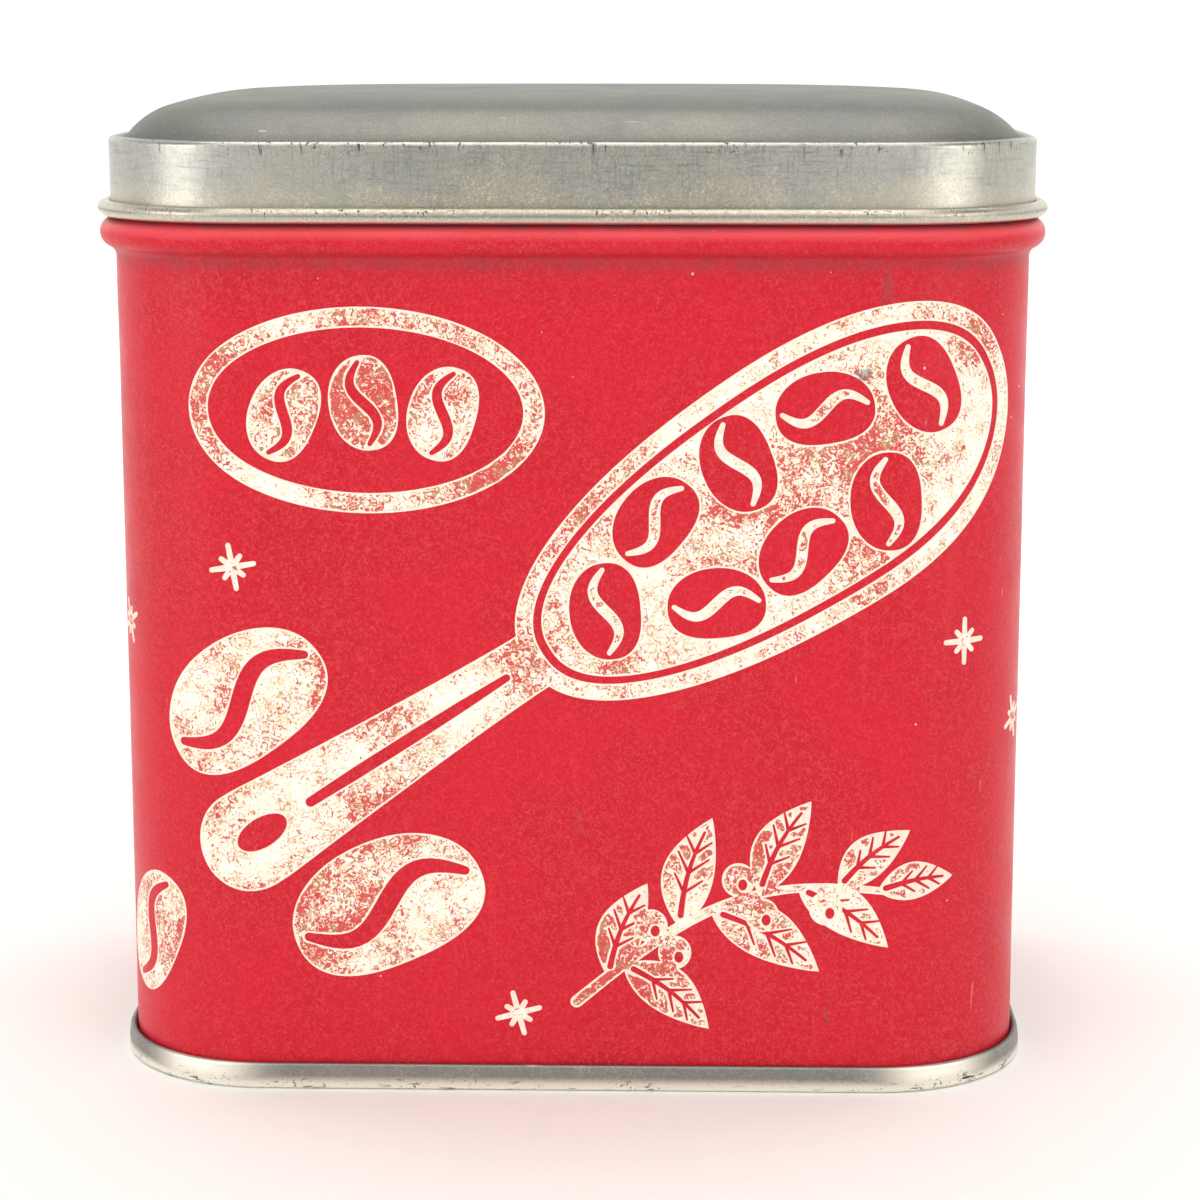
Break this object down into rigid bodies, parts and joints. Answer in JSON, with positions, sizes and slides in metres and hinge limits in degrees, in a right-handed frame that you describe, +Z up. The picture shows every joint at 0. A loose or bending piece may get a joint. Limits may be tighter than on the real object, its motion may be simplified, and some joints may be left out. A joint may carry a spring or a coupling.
{
  "type": "coffee tin",
  "caption": "Rounded-rectangular slip-lid tin with a stop bead, a recessed double-seamed bottom and a lift-off pillow-topped lid, for storing ground coffee.",
  "frame": {"origin": "centre of the rectangle that the tin stands on", "axes": "+Z up through the lid, +X along the wide side, the printed front faces -Y and the side seam is at +Y"},
  "size_m": [0.114, 0.08, 0.119],
  "materials": {
    "printed_tinplate": "satin red lacquer with worn cream print",
    "bare_tinplate": "bare tinplate, dulled",
    "sealing_compound": "matt",
    "lid_tinplate": "bare tinplate, matt with fine scuffs",
    "print_ink": "worn matt cream ink"
  },
  "bodies": {
    "body": {"body_shell": "printed_tinplate", "bottom_end": "bare_tinplate", "seam_compound": "sealing_compound"},
    "lid": {"lid": "lid_tinplate"}
  },
  "joints": [
    {"name": "lid_lift", "type": "slide", "parent": "body", "child": "lid", "axis": [0, 0, 1], "range_m": [0, 0.02]}
  ]
}
